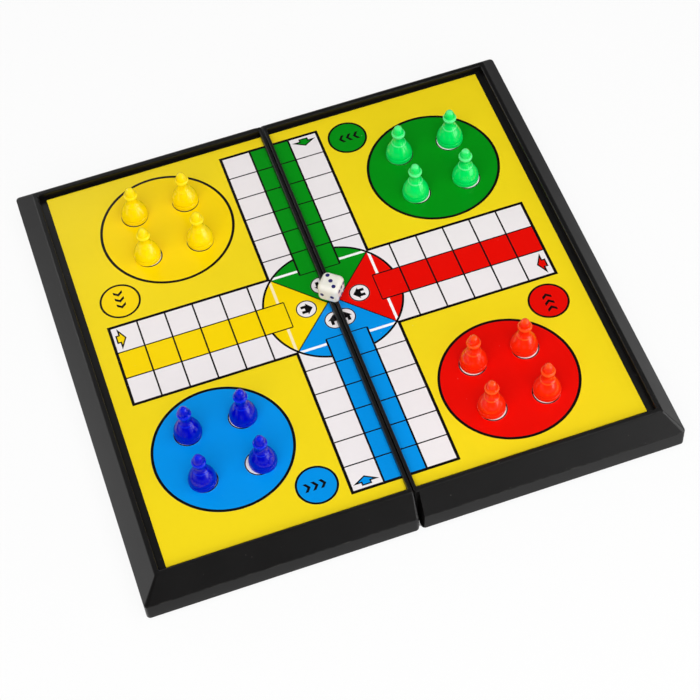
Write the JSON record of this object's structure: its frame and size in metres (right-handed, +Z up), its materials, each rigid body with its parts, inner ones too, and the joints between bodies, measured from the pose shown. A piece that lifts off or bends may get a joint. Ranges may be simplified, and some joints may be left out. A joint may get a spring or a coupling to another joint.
{
  "type": "folding ludo board",
  "caption": "Folding ludo board: hollow bevelled half trays on a pinned hinge, steel-backed printed playing faces, magnetic pawns and a die; it closes into its own case.",
  "frame": {"origin": "on the table, under the middle of the fold", "axes": "+X across the fold towards the right half, +Y along the fold to the back, +Z up"},
  "size_m": [0.25, 0.237, 0.04],
  "materials": {
    "black_plastic": "satin moulded black",
    "sheet_steel": "plain rolled",
    "printed_sheet": "printed and varnished",
    "pin_steel": "bright drawn",
    "die_plastic": "polished cream, dark pips",
    "magnet": "bare ferrite",
    "yellow_plastic": "glossy, slightly translucent",
    "green_plastic": "glossy, slightly translucent",
    "red_plastic": "glossy, slightly translucent",
    "blue_plastic": "glossy, slightly translucent"
  },
  "bodies": {
    "left_half": {"left_shell": "black_plastic", "left_steel_plate": "sheet_steel", "left_print_sheet": "printed_sheet", "front_hinge_pin": "pin_steel", "rear_hinge_pin": "pin_steel"},
    "right_half": {"right_shell": "black_plastic", "right_steel_plate": "sheet_steel", "right_print_sheet": "printed_sheet"},
    "die_piece": {"die": "die_plastic"},
    "yellow_piece_1": {"yellow_pawn_1": "yellow_plastic", "yellow_magnet_1": "magnet"},
    "yellow_piece_2": {"yellow_pawn_2": "yellow_plastic", "yellow_magnet_2": "magnet"},
    "yellow_piece_3": {"yellow_pawn_3": "yellow_plastic", "yellow_magnet_3": "magnet"},
    "yellow_piece_4": {"yellow_pawn_4": "yellow_plastic", "yellow_magnet_4": "magnet"},
    "green_piece_1": {"green_pawn_1": "green_plastic", "green_magnet_1": "magnet"},
    "green_piece_2": {"green_pawn_2": "green_plastic", "green_magnet_2": "magnet"},
    "green_piece_3": {"green_pawn_3": "green_plastic", "green_magnet_3": "magnet"},
    "green_piece_4": {"green_pawn_4": "green_plastic", "green_magnet_4": "magnet"},
    "red_piece_1": {"red_pawn_1": "red_plastic", "red_magnet_1": "magnet"},
    "red_piece_2": {"red_pawn_2": "red_plastic", "red_magnet_2": "magnet"},
    "red_piece_3": {"red_pawn_3": "red_plastic", "red_magnet_3": "magnet"},
    "red_piece_4": {"red_pawn_4": "red_plastic", "red_magnet_4": "magnet"},
    "blue_piece_1": {"blue_pawn_1": "blue_plastic", "blue_magnet_1": "magnet"},
    "blue_piece_2": {"blue_pawn_2": "blue_plastic", "blue_magnet_2": "magnet"},
    "blue_piece_3": {"blue_pawn_3": "blue_plastic", "blue_magnet_3": "magnet"},
    "blue_piece_4": {"blue_pawn_4": "blue_plastic", "blue_magnet_4": "magnet"}
  },
  "joints": [
    {"name": "fold", "type": "hinge", "parent": "left_half", "child": "right_half", "pos_m": [0, 0, 0.0018], "axis": [0, 1, 0], "range_deg": [0, 180]},
    {"name": "die_lift", "type": "slide", "parent": "left_half", "child": "die_piece", "axis": [0, 0, 1], "range_m": [0, 0.04]},
    {"name": "yellow_1_lift", "type": "slide", "parent": "left_half", "child": "yellow_piece_1", "axis": [0, 0, 1], "range_m": [0, 0.04]},
    {"name": "yellow_2_lift", "type": "slide", "parent": "left_half", "child": "yellow_piece_2", "axis": [0, 0, 1], "range_m": [0, 0.04]},
    {"name": "yellow_3_lift", "type": "slide", "parent": "left_half", "child": "yellow_piece_3", "axis": [0, 0, 1], "range_m": [0, 0.04]},
    {"name": "yellow_4_lift", "type": "slide", "parent": "left_half", "child": "yellow_piece_4", "axis": [0, 0, 1], "range_m": [0, 0.04]},
    {"name": "green_1_lift", "type": "slide", "parent": "right_half", "child": "green_piece_1", "axis": [0, 0, 1], "range_m": [0, 0.04]},
    {"name": "green_2_lift", "type": "slide", "parent": "right_half", "child": "green_piece_2", "axis": [0, 0, 1], "range_m": [0, 0.04]},
    {"name": "green_3_lift", "type": "slide", "parent": "right_half", "child": "green_piece_3", "axis": [0, 0, 1], "range_m": [0, 0.04]},
    {"name": "green_4_lift", "type": "slide", "parent": "right_half", "child": "green_piece_4", "axis": [0, 0, 1], "range_m": [0, 0.04]},
    {"name": "red_1_lift", "type": "slide", "parent": "right_half", "child": "red_piece_1", "axis": [0, 0, 1], "range_m": [0, 0.04]},
    {"name": "red_2_lift", "type": "slide", "parent": "right_half", "child": "red_piece_2", "axis": [0, 0, 1], "range_m": [0, 0.04]},
    {"name": "red_3_lift", "type": "slide", "parent": "right_half", "child": "red_piece_3", "axis": [0, 0, 1], "range_m": [0, 0.04]},
    {"name": "red_4_lift", "type": "slide", "parent": "right_half", "child": "red_piece_4", "axis": [0, 0, 1], "range_m": [0, 0.04]},
    {"name": "blue_1_lift", "type": "slide", "parent": "left_half", "child": "blue_piece_1", "axis": [0, 0, 1], "range_m": [0, 0.04]},
    {"name": "blue_2_lift", "type": "slide", "parent": "left_half", "child": "blue_piece_2", "axis": [0, 0, 1], "range_m": [0, 0.04]},
    {"name": "blue_3_lift", "type": "slide", "parent": "left_half", "child": "blue_piece_3", "axis": [0, 0, 1], "range_m": [0, 0.04]},
    {"name": "blue_4_lift", "type": "slide", "parent": "left_half", "child": "blue_piece_4", "axis": [0, 0, 1], "range_m": [0, 0.04]}
  ]
}
